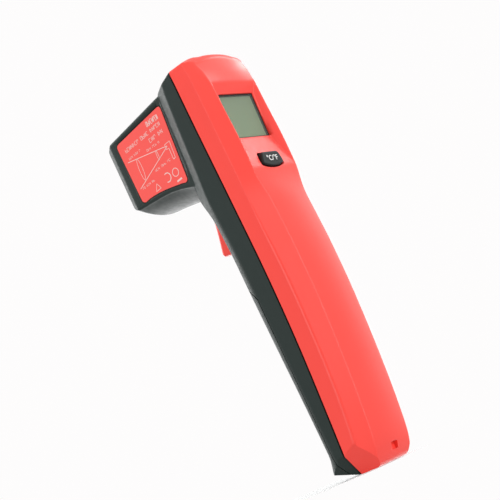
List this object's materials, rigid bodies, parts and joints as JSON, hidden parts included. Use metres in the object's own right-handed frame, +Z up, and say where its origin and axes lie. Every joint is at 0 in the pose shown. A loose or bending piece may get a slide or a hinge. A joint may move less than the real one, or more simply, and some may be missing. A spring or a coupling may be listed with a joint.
{
  "type": "infrared thermometer",
  "caption": "Hand-held stick-shaped infrared thermometer with a recessed display, a unit button, a squeeze trigger, a boxy snout with a lens and a sliding battery cover.",
  "frame": {"origin": "middle of the bounding box in X and Y, at the butt of the handle (Z = 0)", "axes": "+Z up along the handle, +Y towards the target (the way the snout points), +X to the user's right; the display faces -Y"},
  "size_m": [0.038, 0.0692, 0.1774],
  "materials": {
    "red_plastic": "satin moulded ABS",
    "grey_plastic": "satin moulded ABS",
    "button_rubber": "matt silicone rubber",
    "label_film": "printed vinyl film, semi-gloss",
    "bezel_black": "fine satin",
    "lens_milk": "milky polyethylene, soft sheen",
    "barrel_black": "matt black inside and out",
    "window_clear": "clear acrylic, polished",
    "lcd_glass": "reflective LCD glass with grey-green polariser",
    "frame_white": "plain moulded",
    "strip_grey": "striped conductive rubber",
    "board_green": "glass-fibre board with green solder resist",
    "chip_black": "moulded epoxy",
    "switch_black": "plain moulded",
    "capacitor_sleeve": "shrunk sleeve",
    "sensor_can": "plated can",
    "screw_steel": "zinc-plated",
    "pin_steel": "ground",
    "spring_steel": "bright drawn wire",
    "cable_film": "flat polyester cable",
    "battery_jacket": "printed metal jacket, kept plain",
    "snap_black": "soft vinyl",
    "lead_red": "vinyl sleeve",
    "lead_black": "vinyl sleeve",
    "foam_black": "open-cell foam"
  },
  "bodies": {
    "housing": {"battery": "battery_jacket", "battery_lead_black": "lead_black", "battery_lead_red": "lead_red", "battery_snap": "snap_black", "board_screw_1": "screw_steel", "board_screw_2": "screw_steel", "board_screw_3": "screw_steel", "capacitor": "capacitor_sleeve", "casing_screw_1": "screw_steel", "casing_screw_2": "screw_steel", "casing_screw_3": "screw_steel", "casing_screw_4": "screw_steel", "contact_strip": "strip_grey", "controller_chip": "chip_black", "crystal": "sensor_can", "front_shell": "red_plastic", "infrared_lens": "lens_milk", "label_left": "label_film", "label_right": "label_film", "lcd_frame": "frame_white", "lcd_panel": "lcd_glass", "lcd_window": "window_clear", "lens_barrel": "barrel_black", "main_board": "board_green", "memory_chip": "chip_black", "nose_bezel": "bezel_black", "rear_shell": "grey_plastic", "sensor_board": "board_green", "sensor_cable": "cable_film", "thermopile_sensor": "sensor_can", "trigger_pin": "pin_steel", "trigger_spring": "spring_steel", "trigger_switch": "switch_black", "unit_switch": "switch_black"},
    "trigger": {"trigger": "red_plastic"},
    "unit_button": {"unit_button": "button_rubber"},
    "battery_cover": {"battery_cover": "grey_plastic", "battery_pad": "foam_black"}
  },
  "joints": [
    {"name": "trigger_pull", "type": "hinge", "parent": "housing", "child": "trigger", "pos_m": [0, -0.00651, 0.1285], "axis": [-1, 0, 0], "range_deg": [0, 7], "stiffness_Nm_per_rad": 0.3, "springref_deg": -5.73, "deforming": ["trigger_spring"]},
    {"name": "unit_button_press", "type": "slide", "parent": "housing", "child": "unit_button", "axis": [0, 1, 0], "range_m": [0, 0.0006], "stiffness_N_per_m": 1200, "springref_m": -0.0006},
    {"name": "battery_cover_slide", "type": "slide", "parent": "housing", "child": "battery_cover", "axis": [0, -0.0432, -0.9991], "range_m": [0, 0.012]}
  ]
}
